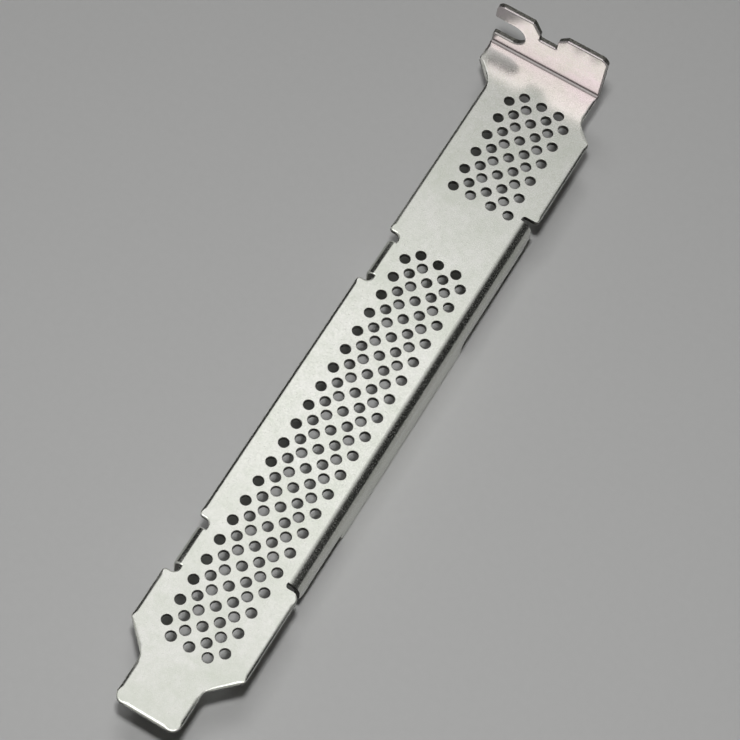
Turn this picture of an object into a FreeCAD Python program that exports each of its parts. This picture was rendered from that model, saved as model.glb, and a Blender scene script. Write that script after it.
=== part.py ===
# Full-height expansion-card bracket: one punched and folded sheet.
# Modelled in the blade's own axes: X across the blade from its centre line, Y along it from the
# back of the screw tab (the tongue is at -Y), Z out of the outside face. The body's placement then
# puts the part on the ground as it lies: on the ears and the flange, outside face up.
import FreeCAD, Part
import os
from math import cos, sin, tau

import Sketcher
from FreeCAD import Vector

doc = FreeCAD.newDocument("bracket")

DIMENSIONS = {
    # sheet and bends
    "sheetThick": 0.86,
    "bendInner": 0.4,
    "flangeBendInner": 1.1,
    # blade, head and tongue, seen from outside
    "overallLength": 120.02,
    "bladeWidth": 18.42,
    "tongueWidth": 10.19,
    "tongueLength": 7.15,
    "headLeft": 12.35,
    "headRight": 6.5,
    "headLeftEnd": 4.5,
    "flareEnd": 7.75,
    "neckEnd": 6.5,
    "shoulderEnd": 8.95,
    # screw tab, heights above the outside face
    "tabHeight": 9.8,
    "prongReach": 12.5,
    "slotWidth": 4.35,
    "slotLevel": 4.37,
    "slotCentre": 9.2,
    "notchLeft": 4.92,
    "notchRight": 1.85,
    "notchFloor": 6.3,
    "notchRun": 1.35,
    "notchDropLeft": 2.2,
    "notchDropRight": 1.4,
    # long side flange with its deeper apron
    "flangeFace": 8.7,
    "flangeStart": 25.85,
    "flangeEnd": 93.25,
    "flangeDepth": 5.4,
    "apronStart": 45.4,
    "apronEnd": 81.6,
    "apronSlant": 0.8,
    "flangeRelief": 0.85,
    "flangeReliefDepth": 6.7,
    # card ears and the notches beside them
    "earFace": 8.55,
    "earCentre": 42.27,
    "earPitch": 53.44,
    "earWidth": 6.35,
    "earDepth": 8.4,
    "earHole": 3.0,
    "earHoleLevel": 5.3,
    "earNotch": 1.44,
    "earNotchDepth": 7.2,
    # vent holes: two fields of the same staggered cell
    "holeSize": 1.62,
    "holePitch": 3.47,
    "columnOne": 1.735,
    "columnTwo": 2.975,
    "columnThree": 4.71,
    "upperField": 7.135,
    "upperCells": 6,
    "lowerField": 39.045,
    "lowerCells": 20,
    # rounded corners
    "tongueCorner": 1.4,
    "edgeCorner": 0.6,
    "neckCorner": 0.9,
    "reliefCorner": 1.2,
    "earNotchCorner": 0.95,
    "flangeSlotCorner": 0.5,
    "tabCorner": 1.3,
    "tabNotchCorner": 0.35,
    "earCorner": 1.6,
    "flangeCorner": 1.8,
    "apronCorner": 0.8,
}

sheet = doc.addObject("Spreadsheet::Sheet", "dims")
for row, (name, size) in enumerate(DIMENSIONS.items(), start=1):
    sheet.set("A%d" % row, name)
    sheet.set("B%d" % row, str(size))
    sheet.setAlias("B%d" % row, name)
doc.recompute()

body = doc.addObject("PartDesign::Body", "bracket")
body.Label = "bracket"
planes = {feature.Role: feature for feature in body.Origin.OriginFeatures}


def new_sketch(name, plane, offset=None):
    """Empty sketch on one of the body's planes, moved off it along its normal by a formula."""
    sketch = body.newObject("Sketcher::SketchObject", name)
    sketch.AttachmentSupport = [(planes[plane], "")]
    sketch.MapMode = "FlatFace"
    if offset:
        sketch.setExpression("AttachmentOffset.Base.z", offset)
    return sketch


def pin(sketch, geometry, end, place):
    """Hold a point of the sketch at two formulas of the sheet."""
    now = sketch.getPoint(geometry, end)
    for kind, rough, formula in zip(("DistanceX", "DistanceY"), (now.x, now.y), place):
        index = sketch.addConstraint(Sketcher.Constraint(kind, -1, 1, geometry, end, rough))
        sketch.setExpression("Constraints[%d]" % index, formula)


def outline(sketch, corners):
    """Closed outline of straight sides through corners given as formulas."""
    count = len(corners)
    first = sketch.GeometryCount
    rough = [Vector(9 * cos(i * tau / count), 9 * sin(i * tau / count), 0) for i in range(count)]
    for i in range(count):
        sketch.addGeometry(Part.LineSegment(rough[i], rough[(i + 1) % count]))
    for i in range(count):
        following = first + (i + 1) % count
        sketch.addConstraint(Sketcher.Constraint("Coincident", first + i, 2, following, 1))
        pin(sketch, first + i, 1, corners[i])


def circle(sketch, place, diameter):
    """Circle held at a place and a diameter given as formulas."""
    index = sketch.addGeometry(Part.Circle(Vector(1, 1, 0), Vector(0, 0, 1), 1.0))
    pin(sketch, index, 3, place)
    size = sketch.addConstraint(Sketcher.Constraint("Diameter", index, 2.0))
    sketch.setExpression("Constraints[%d]" % size, diameter)


def pad(name, sketch, length, backwards=False):
    feature = body.newObject("PartDesign::Pad", name)
    feature.Profile = sketch
    feature.setExpression("Length", length)
    feature.Reversed = backwards
    doc.recompute()
    return feature


def pocket(name, sketch, length, backwards=False):
    """Cut that must take material away."""
    before = body.Shape.Volume
    feature = body.newObject("PartDesign::Pocket", name)
    feature.Profile = sketch
    feature.setExpression("Length", length)
    feature.Reversed = backwards
    doc.recompute()
    if feature.Shape.Volume > before - 0.5:
        raise RuntimeError(name + " cuts nothing")
    return feature


def row_pattern(name, originals, length, count):
    """Repeat features towards the tongue."""
    feature = body.newObject("PartDesign::LinearPattern", name)
    feature.Originals = originals
    feature.Direction = (planes["Y_Axis"], [""])
    feature.Reversed = True
    feature.setExpression("Length", length)
    feature.setExpression("Occurrences", count)
    body.Tip = feature
    doc.recompute()
    return feature


def fillet(name, radius, wanted):
    """Round every straight edge of the body that the test picks."""
    base = body.Tip
    picked = []
    for number, edge in enumerate(base.Shape.Edges, start=1):
        if edge.Curve.TypeId != "Part::GeomLine":
            continue
        if wanted(edge.CenterOfMass, edge.tangentAt(edge.FirstParameter)):
            picked.append("Edge%d" % number)
    if not picked:
        raise RuntimeError(name + " finds no edge")
    feature = body.newObject("PartDesign::Fillet", name)
    feature.Base = (base, picked)
    feature.setExpression("Radius", radius)
    doc.recompute()
    return feature


def value(name):
    return getattr(sheet, name)


def near(a, b):
    return abs(a - b) < 0.02


# flat blank: tongue, blade and head, flush with the back of the tab
half = "dims.bladeWidth / 2"
tongue = "dims.tongueWidth / 2"
tip = "-dims.overallLength"
root = "-dims.overallLength + dims.tongueLength"
slope = root + " + (dims.bladeWidth - dims.tongueWidth) / 2"
blank = new_sketch("bladeOutline", "XY_Plane")
outline(blank, [
    (tongue, tip),
    (tongue, root),
    (half, slope),
    (half, "-dims.shoulderEnd"),
    ("dims.headRight", "-dims.neckEnd"),
    ("dims.headRight", "0"),
    ("-dims.headLeft", "0"),
    ("-dims.headLeft", "-dims.headLeftEnd"),
    ("-" + half, "-dims.flareEnd"),
    ("-" + half, slope),
    ("-" + tongue, root),
    ("-" + tongue, tip),
])
pad("blade", blank, "dims.sheetThick", backwards=True)

# screw tab: an open slot under the prong and a flared notch in the far edge
top = "dims.tabHeight"
slot_low = "dims.slotLevel - dims.slotWidth / 2"
slot_high = "dims.slotLevel + dims.slotWidth / 2"
tab_sketch = new_sketch("tabOutline", "XZ_Plane")
outline(tab_sketch, [
    ("dims.headRight", "-dims.sheetThick"),
    ("dims.headRight", top),
    ("-dims.notchRight + dims.notchRun", top),
    ("-dims.notchRight", top + " - dims.notchDropRight"),
    ("-dims.notchRight", "dims.notchFloor"),
    ("-dims.notchLeft", "dims.notchFloor"),
    ("-dims.notchLeft", top + " - dims.notchDropLeft"),
    ("-dims.notchLeft - dims.notchRun", top),
    ("-dims.prongReach", top),
    ("-dims.prongReach", "dims.slotLevel"),
    ("-dims.headLeft", "dims.slotLevel"),
    ("-dims.headLeft", "-dims.sheetThick"),
])
pad("tab", tab_sketch, "dims.sheetThick")

slot_sketch = new_sketch("slotOutline", "XZ_Plane")
slot_mouth = "-dims.prongReach - 1"
end_circle = Part.Circle(Vector(-9, 4, 0), Vector(0, 0, 1), 2)
slot_end = slot_sketch.addGeometry(Part.ArcOfCircle(end_circle, -tau / 4, tau / 4))
pin(slot_sketch, slot_end, 3, ("-dims.slotCentre", "dims.slotLevel"))
slot_radius = slot_sketch.addConstraint(Sketcher.Constraint("Radius", slot_end, 2.0))
slot_sketch.setExpression("Constraints[%d]" % slot_radius, "dims.slotWidth / 2")
slot_sides = [
    slot_sketch.addGeometry(Part.LineSegment(Vector(-9, 6, 0), Vector(-14, 6, 0))),
    slot_sketch.addGeometry(Part.LineSegment(Vector(-14, 6, 0), Vector(-14, 2, 0))),
    slot_sketch.addGeometry(Part.LineSegment(Vector(-14, 2, 0), Vector(-9, 2, 0))),
]
ring = [(slot_end, 2)] + [(side, end) for side in slot_sides for end in (1, 2)] + [(slot_end, 1)]
for before, after in zip(ring[0::2], ring[1::2]):
    slot_sketch.addConstraint(Sketcher.Constraint("Coincident", *before, *after))
pin(slot_sketch, slot_sides[1], 1, (slot_mouth, slot_high))
pin(slot_sketch, slot_sides[1], 2, (slot_mouth, slot_low))
for end in (1, 2):
    slot_sketch.addConstraint(Sketcher.Constraint("Vertical", slot_end, 3, slot_end, end))
pocket("screwSlot", slot_sketch, "dims.sheetThick", backwards=True)

# one card ear: the margin is notched back to its bend, then the ear is drawn and repeated
ear_high = "-dims.earCentre + dims.earWidth / 2"
ear_low = "-dims.earCentre - dims.earWidth / 2"
relief = new_sketch("earNotches", "XY_Plane")
outline(relief, [
    ("-dims.bladeWidth / 2 - 1", ear_high + " + dims.earNotch"),
    ("-dims.earNotchDepth", ear_high + " + dims.earNotch"),
    ("-dims.earNotchDepth", ear_high),
    ("-dims.earFace", ear_high),
    ("-dims.earFace", ear_low),
    ("-dims.earNotchDepth", ear_low),
    ("-dims.earNotchDepth", ear_low + " - dims.earNotch"),
    ("-dims.bladeWidth / 2 - 1", ear_low + " - dims.earNotch"),
])
ear_cut = pocket("earRelief", relief, "dims.sheetThick")
ear_sketch = new_sketch("earOutline", "YZ_Plane", "-dims.earFace")
outline(ear_sketch, [
    (ear_low, "0"),
    (ear_high, "0"),
    (ear_high, "-dims.earDepth"),
    (ear_low, "-dims.earDepth"),
])
circle(ear_sketch, ("-dims.earCentre", "-dims.earHoleLevel"), "dims.earHole")
ear = pad("ear", ear_sketch, "dims.sheetThick")
row_pattern("ears", [ear_cut, ear], "dims.earPitch", "2")

# long flange on the other edge, with relief slots at its ends and a deeper apron in the middle
relief = new_sketch("flangeNotches", "XY_Plane")
outline(relief, [
    ("dims.bladeWidth / 2 + 1", "-dims.flangeStart + dims.flangeRelief"),
    ("dims.flangeReliefDepth", "-dims.flangeStart + dims.flangeRelief"),
    ("dims.flangeReliefDepth", "-dims.flangeStart"),
    ("dims.flangeFace", "-dims.flangeStart"),
    ("dims.flangeFace", "-dims.flangeEnd"),
    ("dims.flangeReliefDepth", "-dims.flangeEnd"),
    ("dims.flangeReliefDepth", "-dims.flangeEnd - dims.flangeRelief"),
    ("dims.bladeWidth / 2 + 1", "-dims.flangeEnd - dims.flangeRelief"),
])
pocket("flangeSlots", relief, "dims.sheetThick")
flange_sketch = new_sketch("flangeOutline", "YZ_Plane", "dims.flangeFace")
outline(flange_sketch, [
    ("-dims.flangeEnd", "0"),
    ("-dims.flangeStart", "0"),
    ("-dims.flangeStart", "-dims.flangeDepth"),
    ("-dims.apronStart", "-dims.flangeDepth"),
    ("-dims.apronStart - dims.apronSlant", "-dims.earDepth"),
    ("-dims.apronEnd + dims.apronSlant", "-dims.earDepth"),
    ("-dims.apronEnd", "-dims.flangeDepth"),
    ("-dims.flangeEnd", "-dims.flangeDepth"),
])
pad("flange", flange_sketch, "dims.sheetThick", backwards=True)

# bends: each inside radius and, round the same centre, the outside one
thick = value("sheetThick")
tab_face, ear_face, flange_face = -thick, -value("earFace"), value("flangeFace")
along_x, along_y = Vector(1, 0, 0), Vector(0, 1, 0)


def runs(direction, axis):
    return abs(direction.dot(axis)) > 0.999


fillet("bendInside", "dims.bendInner", lambda at, way: (
    (runs(way, along_x) and near(at.y, tab_face) and near(at.z, 0))
    or (runs(way, along_y) and near(at.x, ear_face + thick) and near(at.z, -thick))))
fillet("bendOutside", "dims.bendInner + dims.sheetThick", lambda at, way: (
    (runs(way, along_x) and near(at.y, 0) and near(at.z, -thick))
    or (runs(way, along_y) and near(at.x, ear_face) and near(at.z, 0))))
fillet("flangeBendInside", "dims.flangeBendInner", lambda at, way: (
    runs(way, along_y) and near(at.x, flange_face - thick) and near(at.z, -thick)))
fillet("flangeBendOutside", "dims.flangeBendInner + dims.sheetThick", lambda at, way: (
    runs(way, along_y) and near(at.x, flange_face) and near(at.z, 0)))

# rounded corners in the plane of the blade
along_z = Vector(0, 0, 1)
half_width, half_tongue = value("bladeWidth") / 2, value("tongueWidth") / 2
tip_y = -value("overallLength")
root_y = tip_y + value("tongueLength")
slope_y = root_y + half_width - half_tongue
flange_ends = (
    -value("flangeStart") + value("flangeRelief"),
    -value("flangeEnd") - value("flangeRelief"),
)
notch_sides = []
for centre in (-value("earCentre"), -value("earCentre") - value("earPitch")):
    for side in (1, -1):
        notch_sides.append(centre + side * (value("earWidth") / 2 + value("earNotch")))


def corners(name, radius, axis, places):
    """Round the edges along an axis that stand at the given places, looking along that axis."""
    def stands_there(at, way):
        seen = [c for c, a in zip(at, axis) if not a]
        return runs(way, axis) and any(near(seen[0], u) and near(seen[1], v) for u, v in places)
    fillet(name, radius, stands_there)


corners("tongueTip", "dims.tongueCorner", along_z, [(half_tongue, tip_y), (-half_tongue, tip_y)])
corners("tongueRoot", "dims.tongueCorner", along_z, [(half_tongue, root_y), (-half_tongue, root_y)])
corners("edgeCorners", "dims.edgeCorner", along_z, [
    (half_width, slope_y),
    (-half_width, slope_y),
    (half_width, flange_ends[0]),
    (-value("headLeft"), -value("headLeftEnd")),
    *[(-half_width, y) for y in notch_sides],
])
corners("neckCorners", "dims.neckCorner", along_z, [
    (half_width, -value("shoulderEnd")),
    (value("headRight"), -value("neckEnd")),
    (-half_width, -value("flareEnd")),
])
corners("reliefCorner", "dims.reliefCorner", along_z, [(half_width, flange_ends[1])])
corners("earNotchCorners", "dims.earNotchCorner", along_z, [
    (-value("earNotchDepth"), y) for y in notch_sides])
corners("flangeSlotCorners", "dims.flangeSlotCorner", along_z, [
    (value("flangeReliefDepth"), y) for y in flange_ends])

# rounded corners of the tab, the ears and the flange
tab_top, prong, lip = value("tabHeight"), -value("prongReach"), -value("headLeft")
notch_left, notch_right, notch_floor = -value("notchLeft"), -value("notchRight"), value("notchFloor")
corners("tabCorners", "dims.tabCorner", along_y, [(value("headRight"), tab_top), (prong, tab_top)])
corners("tabNotchCorners", "dims.tabNotchCorner", along_y, [
    (notch_right + value("notchRun"), tab_top),
    (notch_right, tab_top - value("notchDropRight")),
    (notch_right, notch_floor),
    (notch_left, notch_floor),
    (notch_left, tab_top - value("notchDropLeft")),
    (notch_left - value("notchRun"), tab_top),
    (prong, value("slotLevel") + value("slotWidth") / 2),
    (lip, value("slotLevel") - value("slotWidth") / 2),
])
deep, shallow = -value("earDepth"), -value("flangeDepth")
ear_ends = []
for centre in (-value("earCentre"), -value("earCentre") - value("earPitch")):
    for side in (1, -1):
        ear_ends.append((centre + side * value("earWidth") / 2, deep))
corners("earCorners", "dims.earCorner", along_x, ear_ends)
corners("flangeCorners", "dims.flangeCorner", along_x, [
    (-value("flangeStart"), shallow), (-value("flangeEnd"), shallow)])
corners("apronCorners", "dims.apronCorner", along_x, [
    (-value("apronStart"), shallow),
    (-value("apronStart") - value("apronSlant"), deep),
    (-value("apronEnd") + value("apronSlant"), deep),
    (-value("apronEnd"), shallow),
])


def vent_row(sketch, columns, distance):
    for column in columns:
        circle(sketch, (column, distance), "dims.holeSize")


# vent holes: a cell is three holes and, half a pitch on, four more
three = ("-dims.columnTwo", "0", "dims.columnTwo")
four = ("-dims.columnThree", "-dims.columnOne", "dims.columnOne", "dims.columnThree")
for field in ("upper", "lower"):
    start = "-dims.%sField" % field
    cell = new_sketch(field + "Cell", "XY_Plane")
    vent_row(cell, three, start)
    vent_row(cell, four, start + " - dims.holePitch / 2")
    first = pocket(field + "Vents", cell, "dims.sheetThick")
    cells = "dims.%sCells" % field
    row_pattern(field + "Rows", [first], "dims.holePitch * (%s - 1)" % cells, cells)
last = new_sketch("lastRow", "XY_Plane")
vent_row(last, three, "-dims.lowerField - dims.holePitch * dims.lowerCells")
pocket("lastVents", last, "dims.sheetThick")

# lay it on the ground, middle of its box over the origin
body.setExpression("Placement.Base.x", "(dims.prongReach - dims.bladeWidth / 2) / 2")
body.setExpression("Placement.Base.y", "dims.overallLength / 2")
body.setExpression("Placement.Base.z", "dims.earDepth")
doc.recompute()

for obj in doc.Objects:
    if "Invalid" in obj.State or "Error" in obj.State:
        raise RuntimeError("%s failed: %s" % (obj.Name, obj.State))

if body.Shape.isNull() or not body.Shape.isValid() or len(body.Shape.Solids) != 1:
    raise RuntimeError("the bracket is not one valid solid")

box = body.Shape.BoundBox
extents = (box.XLength, box.YLength, box.ZLength)
print("bracket %.2f x %.2f x %.2f mm, %.1f mm3" % (*extents, body.Shape.Volume))
os.makedirs("parts", exist_ok=True)
body.Shape.exportStep("parts/%s.step" % body.Label)
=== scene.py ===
import math

import bmesh
import bpy
from mathutils import Matrix, Vector


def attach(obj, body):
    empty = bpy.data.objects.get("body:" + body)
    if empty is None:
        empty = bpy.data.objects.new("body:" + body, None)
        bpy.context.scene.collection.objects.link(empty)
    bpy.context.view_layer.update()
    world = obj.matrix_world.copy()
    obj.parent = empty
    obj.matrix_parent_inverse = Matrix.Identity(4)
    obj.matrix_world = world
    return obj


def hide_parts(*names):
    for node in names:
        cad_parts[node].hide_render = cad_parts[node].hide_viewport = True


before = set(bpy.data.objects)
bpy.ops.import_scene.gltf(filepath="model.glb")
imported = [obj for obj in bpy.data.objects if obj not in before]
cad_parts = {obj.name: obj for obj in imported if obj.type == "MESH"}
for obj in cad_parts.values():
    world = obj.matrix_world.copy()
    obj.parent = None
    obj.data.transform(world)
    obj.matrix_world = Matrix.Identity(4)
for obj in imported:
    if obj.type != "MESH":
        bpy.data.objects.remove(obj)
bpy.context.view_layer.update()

mm = 0.001


def linearColour(hexText):
    channels = [int(hexText[i:i + 2], 16) / 255 for i in (1, 3, 5)]
    return [c / 12.92 if c <= 0.04045 else ((c + 0.055) / 1.055) ** 2.4 for c in channels] + [1.0]


def addNode(tree, kind, links=None, **settings):
    node = tree.nodes.new(kind)
    for name, setting in settings.items():
        setattr(node, name, setting)
    for socket, source in (links or {}).items():
        if isinstance(source, bpy.types.NodeSocket):
            tree.links.new(source, node.inputs[socket])
        else:
            node.inputs[socket].default_value = source
    return node


def newMaterial(name):
    material = bpy.data.materials.new(name)
    material.use_nodes = True
    tree = material.node_tree
    return material, tree, tree.nodes["Principled BSDF"]


# both sides of the sheet
steelLook = {
    "tint": "#D3D3CE",            # bright zinc, a trace of yellow-green
    "tabReflectionTint": "#CFC5C8",        # painted reflection: pinker towards the upright tab, for the light it mirrors in front of it
    "tabReflectionRun": (54.0, 59.0),      # mm along, where it sets in and where it is full
    "dullTint": "#BCC1B4",        # greener clouds and patches left by the bath
    # width in mm, the part of the noise that shows, and how far it goes towards the dull tint
    "clouds": {"width": 9.0, "detail": 3.0, "rough": 0.55, "shows": (0.42, 0.75), "share": 0.45},
    "patches": {"width": 1.3, "detail": 4.0, "rough": 0.6, "shows": (0.35, 0.7), "share": 0.4},
    "foldHighlightTint": "#F0E9E8",        # painted highlight in front of the tab, for the light caught where the blade curves into the fold
    "foldShadeTint": "#615C5B",      # painted shade in the fold, fading out up the tab
    # mm along where a painted highlight or shade sets in and is full, mm up where it fades and ends, and
    # its strength
    "foldHighlight": {"along": (57.1, 58.5), "up": (8.5, 9.0), "share": 1.0},
    "creaseShade": {"along": (58.68, 58.8), "up": (8.46, 8.54), "share": 1.0},
    "tabFootShade": {"along": (59.05, 59.12), "up": (8.7, 12.2), "share": 0.6},
    "grain": 0.22,                # mm between grains, coarser than real so that it shows
    "grainDepth": 0.02,           # mm
    "roughness": (0.17, 0.29),    # in the low and the high of the grain
}


def paintedFoldShare(tree, at, mark):
    # how strongly a painted highlight or shade by the fold shows: it sets in along the blade and fades out
    # going up
    setsIn = addNode(tree, "ShaderNodeMapRange", {
        "Value": at.outputs["Y"], "From Min": mark["along"][0] * mm, "From Max": mark["along"][1] * mm})
    fades = addNode(tree, "ShaderNodeMapRange", {
        "Value": at.outputs["Z"], "From Min": mark["up"][0] * mm, "From Max": mark["up"][1] * mm,
        "To Min": mark["share"], "To Max": 0.0})
    shown = addNode(tree, "ShaderNodeMath", {
        0: setsIn.outputs[0], 1: fades.outputs[0]}, operation="MULTIPLY")
    return shown.outputs[0]


def zincPlatedSteel(look):
    # cold-rolled steel, punched and folded, then bright zinc plated: a satin white metal
    # with fine grain and faint cloudy tints from the passivation bath
    material, tree, shader = newMaterial("zincPlatedSteelSatin")
    place = addNode(tree, "ShaderNodeTexCoord").outputs["Object"]
    at = addNode(tree, "ShaderNodeSeparateXYZ", {0: place})
    # painted reflection tint, setting in on the head and full on the tab
    towardsTab = addNode(tree, "ShaderNodeMapRange", {
        "Value": at.outputs["Y"], "From Min": look["tabReflectionRun"][0] * mm, "From Max": look["tabReflectionRun"][1] * mm})
    tint = addNode(tree, "ShaderNodeMix", {
        0: towardsTab.outputs[0], 6: linearColour(look["tint"]), 7: linearColour(look["tabReflectionTint"])},
        data_type="RGBA")
    for dull in (look["clouds"], look["patches"]):
        noise = addNode(tree, "ShaderNodeTexNoise", {
            "Vector": place, "Scale": 1 / (dull["width"] * mm),
            "Detail": dull["detail"], "Roughness": dull["rough"]})
        share = addNode(tree, "ShaderNodeMapRange", {
            "Value": noise.outputs["Fac"], "From Min": dull["shows"][0], "From Max": dull["shows"][1],
            "To Max": dull["share"]})
        tint = addNode(tree, "ShaderNodeMix", {
            0: share.outputs[0], 6: tint.outputs[2], 7: linearColour(look["dullTint"])}, data_type="RGBA")
    # painted highlight on the blade just before the fold
    foldHighlit = addNode(tree, "ShaderNodeMix", {
        0: paintedFoldShare(tree, at, look["foldHighlight"]), 6: tint.outputs[2], 7: linearColour(look["foldHighlightTint"])},
        data_type="RGBA")
    # painted shade in the fold and at the foot of the tab
    foldShadeShare = addNode(tree, "ShaderNodeMath", {
        0: paintedFoldShare(tree, at, look["creaseShade"]), 1: paintedFoldShare(tree, at, look["tabFootShade"])}, operation="MAXIMUM")
    foldShaded = addNode(tree, "ShaderNodeMix", {
        0: foldShadeShare.outputs[0], 6: foldHighlit.outputs[2], 7: linearColour(look["foldShadeTint"])},
        data_type="RGBA")
    grain = addNode(tree, "ShaderNodeTexNoise", {
        "Vector": place, "Scale": 1 / (look["grain"] * mm), "Detail": 2.0, "Roughness": 0.6})
    gloss = addNode(tree, "ShaderNodeMapRange", {
        "Value": grain.outputs["Fac"], "From Min": 0.3, "From Max": 0.7,
        "To Min": look["roughness"][0], "To Max": look["roughness"][1]})
    relief = addNode(tree, "ShaderNodeBump", {
        "Height": grain.outputs["Fac"], "Strength": 0.10, "Distance": look["grainDepth"] * mm})
    tree.links.new(foldShaded.outputs[2], shader.inputs["Base Color"])
    tree.links.new(gloss.outputs[0], shader.inputs["Roughness"])
    tree.links.new(relief.outputs[0], shader.inputs["Normal"])
    shader.inputs["Metallic"].default_value = 1.0
    return material


# its cut edges
cutLook = {
    "tint": "#7E7D77",
    "tornTint": "#3A3936",
    "roughness": 0.42,
    "streak": 0.3,          # mm between the torn streaks
    "streakDepth": 0.05,    # mm
}


def shearedSteel(look):
    # the punch's cut through the sheet: bare grey steel, burnished in places and torn darker in others
    material, tree, shader = newMaterial("shearedSteelEdge")
    place = addNode(tree, "ShaderNodeTexCoord").outputs["Object"]
    tear = addNode(tree, "ShaderNodeTexNoise", {
        "Vector": place, "Scale": 1 / (look["streak"] * mm), "Detail": 3.0, "Roughness": 0.6})
    shade = addNode(tree, "ShaderNodeMapRange", {
        "Value": tear.outputs["Fac"], "From Min": 0.3, "From Max": 0.7})
    tint = addNode(tree, "ShaderNodeMix", {
        0: shade.outputs[0], 6: linearColour(look["tornTint"]), 7: linearColour(look["tint"])},
        data_type="RGBA")
    relief = addNode(tree, "ShaderNodeBump", {
        "Height": tear.outputs["Fac"], "Strength": 0.35, "Distance": look["streakDepth"] * mm})
    tree.links.new(tint.outputs[2], shader.inputs["Base Color"])
    tree.links.new(relief.outputs[0], shader.inputs["Normal"])
    shader.inputs["Metallic"].default_value = 1.0
    shader.inputs["Roughness"].default_value = look["roughness"]
    return material


plated = zincPlatedSteel(steelLook)
sheared = shearedSteel(cutLook)
print("materials made")

# the sheet, with the rolled edges that punching leaves on its outside
bracketLook = {
    "middle": 1.645,      # mm, the blade's centre line across
    "outside": 8.4,       # mm, level of the blade's outside face
    "sheet": 0.86,        # mm, thickness
    "edgeRoll": 0.6,      # mm, width of the roll round the outline
    "rollDepth": 0.26,    # mm, how far it sinks at the cut
    "rollSteps": 4,
    "cornerRoll": 0.46,   # share of it at corners and on the tab, the ears and the flange
    "cornerRun": 0.7,     # mm, over which it narrows
    "straight": 2.5,      # mm, the shortest edge that gets the full roll
    "ears": ((17.74, 3.1), (-35.7, 3.1)),    # mm along and up, their screw holes
    "earHole": 1.7,       # mm, reach round one that stays sharp
    "slots": (34.6, -33.66),    # mm along, the relief slots at the flange's ends, which stay sharp too
    "slotReach": (0.6, 8.2),    # mm along either way, and across from
    "weld": 0.0005,       # mm, corners of the CAD mesh as near as this are one
    "planeWithin": 0.5,   # degrees, faces this near to one plane are one
    "bendStep": 25,       # degrees, more than one facet of a fold turns and less than a cut edge does
    "smooth": 40,         # degrees, edges up to this are shaded smooth
}
ventLook = {
    "radius": 0.81,       # mm
    "roll": 0.07,         # mm, width of the rolled rim on the outside
    "rollDepth": 0.12,    # mm
    "collar": 0.95,       # mm, ring of flat round each vent
    "sides": 28,
    "pitch": 3.47,        # mm along the blade
    "three": (-2.975, 0.0, 2.975),           # mm across from the middle, in the two kinds of row
    "four": (-4.71, -1.735, 1.735, 4.71),
    "fields": ((52.875, 6, False), (20.965, 20, True)),    # first row, cells, ends with a row of three
}
levelSlack = 0.002    # mm, within which a point counts as at a level


def editOnly(piece, kind="FACE"):
    bpy.ops.object.select_all(action="DESELECT")
    piece.select_set(True)
    bpy.context.view_layer.objects.active = piece
    bpy.ops.object.mode_set(mode="EDIT")
    bpy.ops.mesh.select_mode(type=kind)


def pickFaces(piece, wanted):
    bpy.ops.mesh.select_mode(type="FACE")
    bpy.ops.mesh.select_all(action="DESELECT")
    mesh = bmesh.from_edit_mesh(piece.data)
    for face in mesh.faces:
        face.select_set(wanted(face.normal, face.calc_center_median() / mm))
    bmesh.update_edit_mesh(piece.data)


def atLevel(edge, level):
    return all(abs(corner.co.z / mm - level) < levelSlack for corner in edge.verts)


def pickOpenEdges(piece, level):
    bpy.ops.mesh.select_mode(type="EDGE")
    bpy.ops.mesh.select_all(action="DESELECT")
    mesh = bmesh.from_edit_mesh(piece.data)
    for edge in mesh.edges:
        if edge.is_boundary and atLevel(edge, level):
            edge.select_set(True)
    bmesh.update_edit_mesh(piece.data)


def ventRows(look):
    # each row's places across, and its place along, from the tab down
    rows = []
    for first, cells, odd in look["fields"]:
        for cell in range(cells):
            rows.append((look["three"], first - cell * look["pitch"]))
            rows.append((look["four"], first - (cell + 0.5) * look["pitch"]))
        if odd:
            rows.append((look["three"], first - cells * look["pitch"]))
    return rows


def makeVents(look, blade):
    # one punched vent: inside collar, wall, rolled rim and outside collar, drawn ring by ring
    bpy.ops.object.select_all(action="DESELECT")
    bpy.ops.mesh.primitive_circle_add(vertices=look["sides"], radius=look["collar"] * mm)
    vent = bpy.context.object
    editOnly(vent, "EDGE")
    bpy.ops.mesh.select_all(action="SELECT")
    rings = [(look["radius"], -blade["sheet"]), (look["radius"], -look["rollDepth"])]
    for step in range(1, blade["rollSteps"] + 1):
        turn = math.radians(90 * step / blade["rollSteps"])
        rings.append((
            look["radius"] + look["roll"] * (1 - math.cos(turn)), look["rollDepth"] * (math.sin(turn) - 1)))
    rings.append((look["collar"], 0.0))
    radius, level = look["collar"], -blade["sheet"]
    for nextRadius, nextLevel in rings:
        bpy.ops.mesh.extrude_edges_move(TRANSFORM_OT_translate={"value": (0, 0, (nextLevel - level) * mm)})
        grow = nextRadius / radius
        bpy.ops.transform.resize(value=(grow, grow, 1), center_override=(0, 0, 0))
        radius, level = nextRadius, nextLevel
    bpy.ops.object.mode_set(mode="OBJECT")
    base = blade["outside"] - blade["sheet"]
    copies = []
    for columns, row in ventRows(look):
        for column in columns:
            mesh = vent.data.copy()
            mesh.transform(Matrix.Translation(Vector((blade["middle"] + column, row, base)) * mm))
            copies.append(bpy.data.objects.new("vent", mesh))
            bpy.context.scene.collection.objects.link(copies[-1])
    bpy.data.objects.remove(vent)
    print("vents punched:", len(copies))
    return copies


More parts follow.
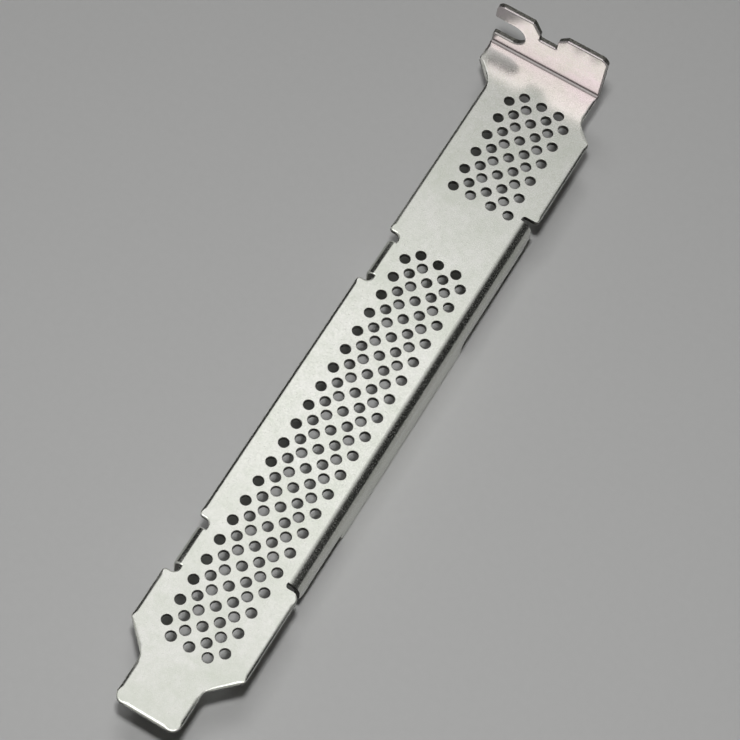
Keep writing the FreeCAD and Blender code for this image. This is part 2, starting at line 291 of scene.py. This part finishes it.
def weighRoll(piece, look):
    # bevel weights of the picked rim: full on the long straight runs, narrower at corners and folds
    mesh = bmesh.from_edit_mesh(piece.data)
    weight = mesh.edges.layers.float.new("bevel_weight_edge")
    slotAlong, slotAcross = look["slotReach"]
    for edge in [edge for edge in mesh.edges if edge.select]:
        middle = (edge.verts[0].co + edge.verts[1].co) / 2 / mm
        parts = [edge]
        if atLevel(edge, look["outside"]) and edge.calc_length() > look["straight"] * mm:
            for corner in list(edge.verts):
                run = max(parts, key=lambda part: part.calc_length())
                cut = look["cornerRun"] * mm / run.calc_length()
                parts.append(bmesh.utils.edge_split(run, corner, cut)[0])
        onHole = min(math.dist(middle.yz, hole) for hole in look["ears"]) < look["earHole"]
        nearSlot = min(abs(middle.y - slot) for slot in look["slots"]) < slotAlong
        sharp = onHole or (nearSlot and middle.x > slotAcross)
        for part in parts:
            part[weight] = 0.0 if sharp else look["cornerRoll"]
        if len(parts) > 1:
            longest = max(parts, key=lambda part: part.calc_length())
            longest[weight] = 1.0
    bmesh.update_edit_mesh(piece.data)


def rollEdges(piece, look):
    roll = piece.modifiers.new("edgeRoll", "BEVEL")
    roll.limit_method = "WEIGHT"
    roll.width = look["edgeRoll"] * mm
    roll.use_clamp_overlap = False
    roll.material = 0
    roll.segments = look["rollSteps"] + 1
    # shallow on the flat and steep at the cut, as a punch draws the sheet in
    roll.profile_type = "CUSTOM"
    profile = roll.custom_profile
    sink = look["rollDepth"] / look["edgeRoll"]
    for step in range(1, look["rollSteps"] + 1):
        turn = math.radians(90 * step / look["rollSteps"])
        profile.points.add(math.sin(turn), 1 - sink * (1 - math.cos(turn)))
    for point in profile.points:
        point.handle_type_1 = point.handle_type_2 = "VECTOR"
    profile.update()
    bpy.ops.object.modifier_apply(modifier=roll.name)


def flattenShading(piece):
    # the plated flats lead the shading, so that it stays even right up to the rolls and bends
    squareOn = 0.99995    # how far a face follows one axis to count as a flat
    facing = 0.77         # how far another face has to point its way to take its shading
    mesh = piece.data
    square = [p.material_index == 0 and max(abs(c) for c in p.normal) > squareOn for p in mesh.polygons]
    flats = {}
    for face, isFlat in zip(mesh.polygons, square):
        if isFlat:
            for corner in face.vertices:
                flats.setdefault(corner, []).append(face.normal.copy())
    normals = [corner.vector.copy() for corner in mesh.corner_normals]
    for face, isFlat in zip(mesh.polygons, square):
        for loop in face.loop_indices:
            near = flats.get(mesh.loops[loop].vertex_index, ())
            if isFlat:
                normals[loop] = face.normal.copy()
            elif near and max(face.normal.dot(n) for n in near) > facing:
                normals[loop] = max(near, key=face.normal.dot)
    mesh.normals_split_custom_set(normals)


def makeBracket(look, holes):
    vents = makeVents(holes, look)
    piece = bpy.data.objects.new("bracketSheet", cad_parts["bracket"].data.copy())
    bpy.context.scene.collection.objects.link(piece)
    piece.data.materials.clear()
    piece.data.materials.append(plated)
    piece.data.materials.append(sheared)
    outside, inside = look["outside"], look["outside"] - look["sheet"]
    rows = [row for columns, row in ventRows(holes)]
    lowest, highest = rows[-1] - holes["collar"], rows[0] + holes["collar"]
    halfField = holes["four"][-1] + holes["collar"]
    flatOn, upright = 0.999, 0.01    # how far a normal follows z: at least on a flat, at most on a wall

    def outsideFlat(normal, at):
        return normal.z > flatOn and abs(at.z - outside) < levelSlack

    def insideFlat(normal, at):
        return normal.z < -flatOn and abs(at.z - inside) < levelSlack

    def ventWall(normal, at):
        inField = abs(at.x - look["middle"]) < halfField and lowest < at.y < highest
        return abs(normal.z) < upright and inside < at.z < outside and inField

    editOnly(piece)
    bpy.ops.mesh.select_all(action="SELECT")
    bpy.ops.mesh.customdata_custom_splitnormals_clear()
    bpy.ops.mesh.remove_doubles(threshold=look["weld"] * mm)
    # clear the vented flats and close each with one plain face
    pickFaces(piece, lambda n, at: outsideFlat(n, at) or insideFlat(n, at) or ventWall(n, at))
    bpy.ops.mesh.delete(type="FACE")
    for height in (outside, inside):
        pickOpenEdges(piece, height)
        bpy.ops.mesh.edge_face_add()
    bpy.ops.mesh.select_mode(type="FACE")
    bpy.ops.mesh.select_all(action="SELECT")
    bpy.ops.mesh.dissolve_limited(angle_limit=math.radians(look["planeWithin"]))
    bpy.ops.mesh.select_all(action="SELECT")
    bpy.ops.mesh.normals_make_consistent(inside=False)
    # cut edges are bare; each side of the sheet is plated, grown from its flat over the bends
    piece.active_material_index = 1
    bpy.ops.object.material_slot_assign()
    piece.active_material_index = 0
    for flat in (insideFlat, outsideFlat):
        pickFaces(piece, flat)
        bpy.ops.mesh.faces_select_linked_flat(sharpness=math.radians(look["bendStep"]))
        bpy.ops.object.material_slot_assign()
    # the rim of the outside, picked last, is what rolls
    bpy.ops.mesh.region_to_loop()
    weighRoll(piece, look)
    bpy.ops.object.mode_set(mode="OBJECT")
    rollEdges(piece, look)
    # open the flats again and set the vents in them
    bpy.ops.object.mode_set(mode="EDIT")
    pickFaces(piece, lambda n, at: outsideFlat(n, at) or insideFlat(n, at))
    bpy.ops.mesh.delete(type="ONLY_FACE")
    bpy.ops.object.mode_set(mode="OBJECT")
    for vent in vents:
        vent.select_set(True)
        vent.data.materials.append(plated)
    piece.select_set(True)
    bpy.context.view_layer.objects.active = piece
    bpy.ops.object.join()
    editOnly(piece)
    for height in (outside, inside):
        pickOpenEdges(piece, height)
        bpy.ops.mesh.fill(use_beauty=True)
    piece.active_material_index = 1
    pickFaces(piece, ventWall)
    bpy.ops.object.material_slot_assign()
    bpy.ops.mesh.select_all(action="SELECT")
    bpy.ops.mesh.normals_make_consistent(inside=False)
    bpy.ops.object.mode_set(mode="OBJECT")
    bpy.ops.object.shade_smooth_by_angle(angle=math.radians(look["smooth"]))
    flattenShading(piece)
    print("sheet has", len(piece.data.polygons), "faces")
    return piece


bracket = makeBracket(bracketLook, ventLook)
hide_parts("bracket")
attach(bracket, "root")
print("bracket made")

# the floor it lies on
floorLook = {
    "size": 12.0,                      # m
    "tints": ("#B7B7B6", "#BBBBBA"),
    "fibre": 1.2,                      # mm, coarser than real so that it shows
    "roughness": 0.9,
}


def mattPaper(look):
    # uncoated studio paper: soft, pale and even
    material, tree, shader = newMaterial("mattStudioPaper")
    place = addNode(tree, "ShaderNodeTexCoord").outputs["Object"]
    fibre = addNode(tree, "ShaderNodeTexNoise", {
        "Vector": place, "Scale": 1 / (look["fibre"] * mm), "Detail": 4.0})
    darker, lighter = [linearColour(tint) for tint in look["tints"]]
    tint = addNode(tree, "ShaderNodeMix", {
        0: fibre.outputs["Fac"], 6: darker, 7: lighter}, data_type="RGBA")
    tree.links.new(tint.outputs[2], shader.inputs["Base Color"])
    shader.inputs["Roughness"].default_value = look["roughness"]
    return material


bpy.ops.object.select_all(action="DESELECT")
bpy.ops.mesh.primitive_plane_add(size=floorLook["size"])
floor = bpy.context.object
floor.name = "studioFloor"
floor.data.materials.append(mattPaper(floorLook))
print("floor made")

# the camera stands where the photograph was taken from; mm and degrees
cameraLook = {
    "place": (59.47, -146.79, 352.51),
    "turn": (24.423, -4.094, 30.318),
    "lens": 127.33,
    "sensor": 36.0,
    "nearest": 10.0,
}
bpy.ops.object.camera_add(
    location=[c * mm for c in cameraLook["place"]], rotation=[math.radians(a) for a in cameraLook["turn"]])
camera = bpy.context.object
camera.data.lens = cameraLook["lens"]
camera.data.sensor_width = cameraLook["sensor"]
camera.data.clip_start = cameraLook["nearest"] * mm
bpy.context.scene.camera = camera
print("camera set")

# lamps that face straight down, in metres and watts
# onMetal is whether reflections show one, onPaper whether it lights what is dull
lightLook = {
    "softbox": {"place": (-0.55, 1.035, 2.5), "size": (1.15, 0.47), "power": 1.72,
                "tint": "#FFFFFF", "onMetal": True, "onPaper": True},
    "softboxNear": {"place": (-0.55, 0.61, 2.5), "size": (1.15, 0.38), "power": 0.69,
                    "tint": "#FFFFFF", "onMetal": True, "onPaper": True},
    "middleFill": {"place": (-0.3, 0.06, 2.5), "size": (1.6, 0.72), "power": 2.0,
                   "tint": "#FFFFFF", "onMetal": True, "onPaper": False},
    "nearFill": {"place": (0.1, -0.75, 2.5), "size": (2.6, 0.9), "power": 22,
                 "tint": "#FFFFFF", "onMetal": True, "onPaper": False},
    "farFill": {"place": (0.1, -1.68, 2.5), "size": (2.6, 0.95), "power": 12.2,
                "tint": "#FFFAFC", "onMetal": True, "onPaper": False},
    "paperTop": {"place": (-0.55, 0.845, 2.5), "size": (1.15, 0.85), "power": 16,
                 "tint": "#FFFFFF", "onMetal": False, "onPaper": True},
    "paperNear": {"place": (0.019, -0.07, 0.352), "size": (0.035, 0.035), "power": 0.67,
                  "tint": "#FFFFFF", "onMetal": False, "onPaper": True},
}
for name, look in lightLook.items():
    bpy.ops.object.light_add(type="AREA", location=look["place"])
    lamp = bpy.context.object
    lamp.name = name
    lamp.data.shape = "RECTANGLE"
    lamp.data.size, lamp.data.size_y = look["size"]
    lamp.data.energy = look["power"]
    lamp.data.color = linearColour(look["tint"])[:3]
    lamp.visible_glossy, lamp.visible_diffuse = look["onMetal"], look["onPaper"]
print("lamps made")

# black cards beside the softbox: only the metal sees them, as dark lines along its bends and edges
flagLook = {
    "rightFlag": {"place": (1.5, 0.98, 1.3), "tilt": 45, "size": (3.7, 1.3), "glow": 1.0, "fade": 0.33},
    "leftFlag": {"place": (-2.1, 0.98, 1.25), "tilt": -53, "size": (3.1, 1.3), "glow": 0.0},
}


def blackCard(look):
    # dull black paint on board; where it glows, light spills over the edge next to the softbox and fades
    material, tree, shader = newMaterial("blackPaintedCard")
    shader.inputs["Base Color"].default_value = linearColour("#0A0A0A")
    shader.inputs["Roughness"].default_value = 1.0
    if look["glow"]:
        board = addNode(tree, "ShaderNodeTexCoord").outputs["UV"]
        across = addNode(tree, "ShaderNodeSeparateXYZ", {0: board})
        spill = addNode(tree, "ShaderNodeMapRange", {
            "Value": across.outputs["X"], "From Max": look["fade"], "To Min": look["glow"], "To Max": 0.0})
        tree.links.new(spill.outputs[0], shader.inputs["Emission Strength"])
        shader.inputs["Emission Color"].default_value = linearColour("#FFFFFF")
    return material


for name, look in flagLook.items():
    bpy.ops.object.select_all(action="DESELECT")
    bpy.ops.mesh.primitive_plane_add(
        size=1.0, location=look["place"], rotation=(0, math.radians(look["tilt"]), 0))
    flag = bpy.context.object
    flag.name = name
    flag.scale = (*look["size"], 1)
    bpy.ops.object.transform_apply(location=True, rotation=True, scale=True)
    flag.data.materials.append(blackCard(look))
    flag.visible_camera = flag.visible_diffuse = flag.visible_shadow = flag.visible_transmission = False
print("flags made")

# dim room light; the pale backdrop is only what the camera and the metal see of it
roomLook = {"dim": 0.02, "dimTint": "#FFFFFF", "paleTint": "#CACAC9"}
world = bpy.data.worlds.new("studio")
bpy.context.scene.world = world
world.use_nodes = True
room = world.node_tree
seen = addNode(room, "ShaderNodeLightPath")
direct = addNode(room, "ShaderNodeMath", {
    0: seen.outputs["Is Camera Ray"], 1: seen.outputs["Is Glossy Ray"]}, operation="MAXIMUM")
anyView = addNode(room, "ShaderNodeMath", {
    0: direct.outputs[0], 1: seen.outputs["Is Transmission Ray"]}, operation="MAXIMUM")
dim = addNode(room, "ShaderNodeBackground", {
    "Color": linearColour(roomLook["dimTint"]), "Strength": roomLook["dim"]})
pale = addNode(room, "ShaderNodeBackground", {"Color": linearColour(roomLook["paleTint"]), "Strength": 1.0})
both = addNode(room, "ShaderNodeMixShader", {0: anyView.outputs[0], 1: dim.outputs[0], 2: pale.outputs[0]})
room.links.new(both.outputs[0], room.nodes["World Output"].inputs["Surface"])
bpy.context.scene.view_settings.view_transform = "Standard"
print("room made")
